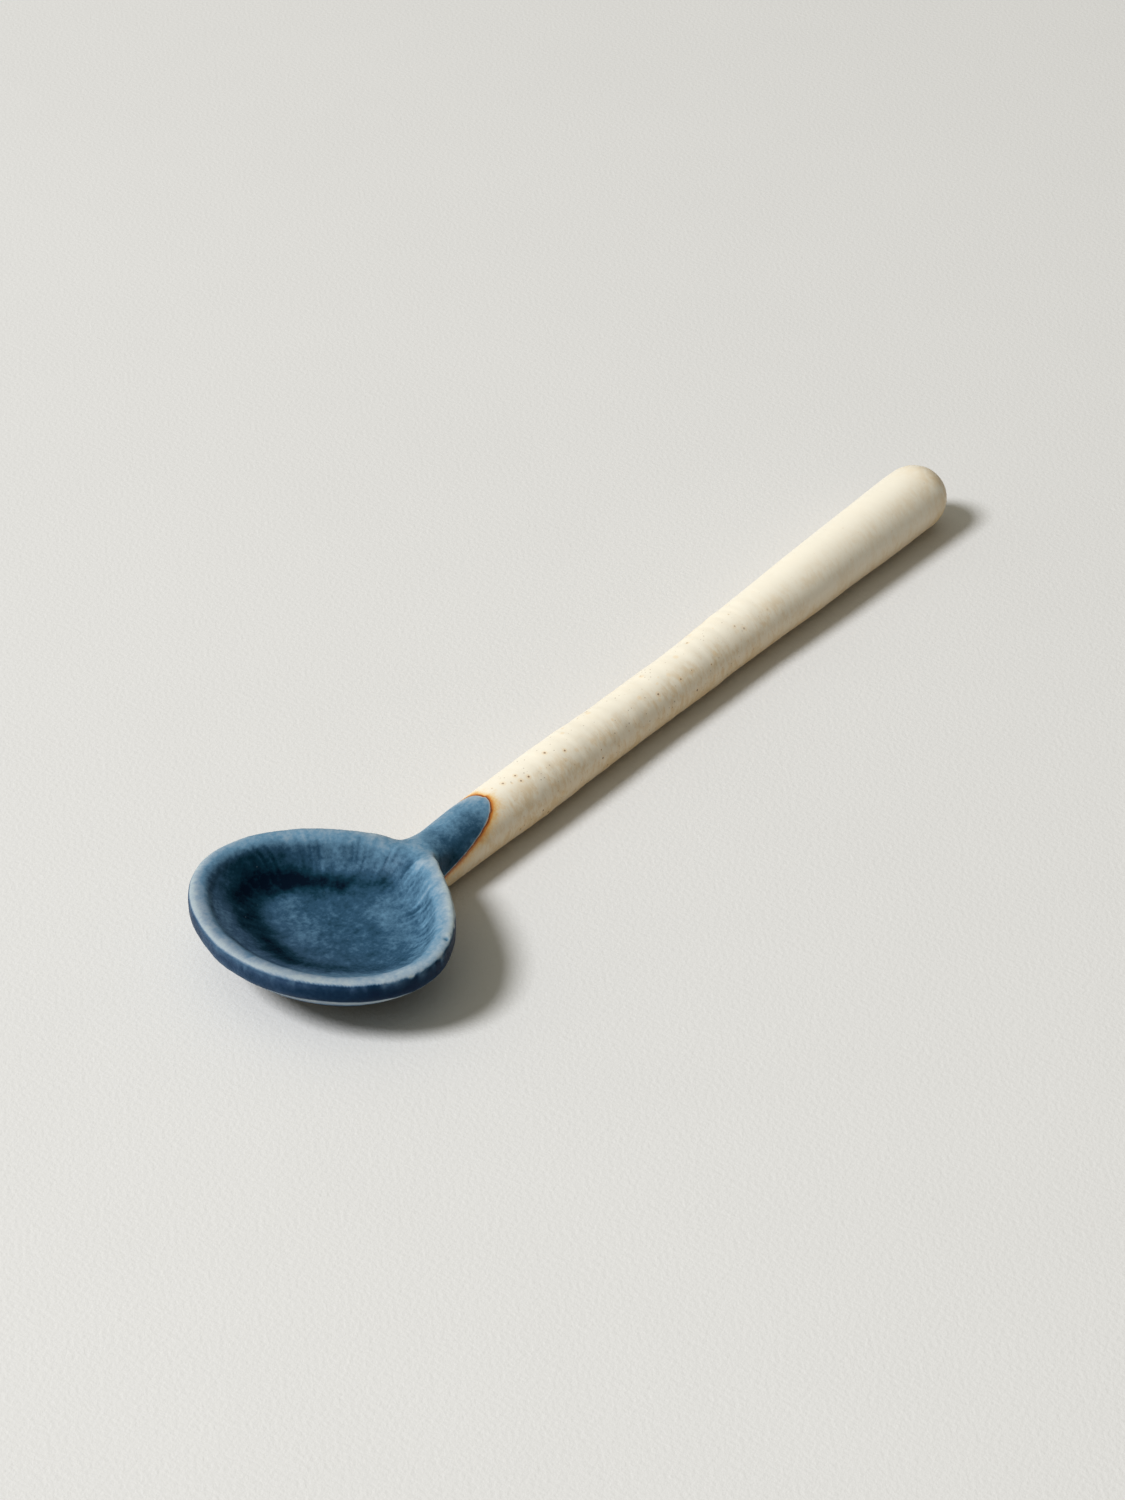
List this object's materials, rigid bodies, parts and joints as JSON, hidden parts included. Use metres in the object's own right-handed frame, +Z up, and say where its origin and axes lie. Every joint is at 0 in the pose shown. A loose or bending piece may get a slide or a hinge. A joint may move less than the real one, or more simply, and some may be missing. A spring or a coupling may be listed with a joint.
{
  "type": "spoon",
  "caption": "Small stoneware spoon: an egg-shaped bowl with a rolled rim dipped in blue glaze, luted to a round hand-rolled handle in cream glaze.",
  "frame": {"origin": "middle of the bowl's flat foot, at table height", "axes": "+X along the handle from the bowl to the tip, +Y across the spoon, +Z up from the table"},
  "size_m": [0.1596, 0.0386, 0.0106],
  "materials": {
    "bowl_clay": "fired stoneware, bare and slightly toasted, matte",
    "handle_clay": "fired stoneware, matte",
    "slip": "fired slip of the same clay, matte",
    "coil_clay": "fired stoneware, matte",
    "blue_glaze": "satin slate blue, pooled dark at the foot of the wall and breaking pale on the rim",
    "cream_glaze": "satin ivory with iron specks and tan mottling",
    "rust_flash": "satin rust orange where the two glazes overlap"
  },
  "bodies": {
    "root": {"bowl_body": "bowl_clay", "handle_body": "handle_clay", "joint_slip": "slip", "neck_coil": "coil_clay", "bowl_glaze": "blue_glaze", "handle_glaze": "cream_glaze", "flash_line": "rust_flash"}
  },
  "joints": []
}
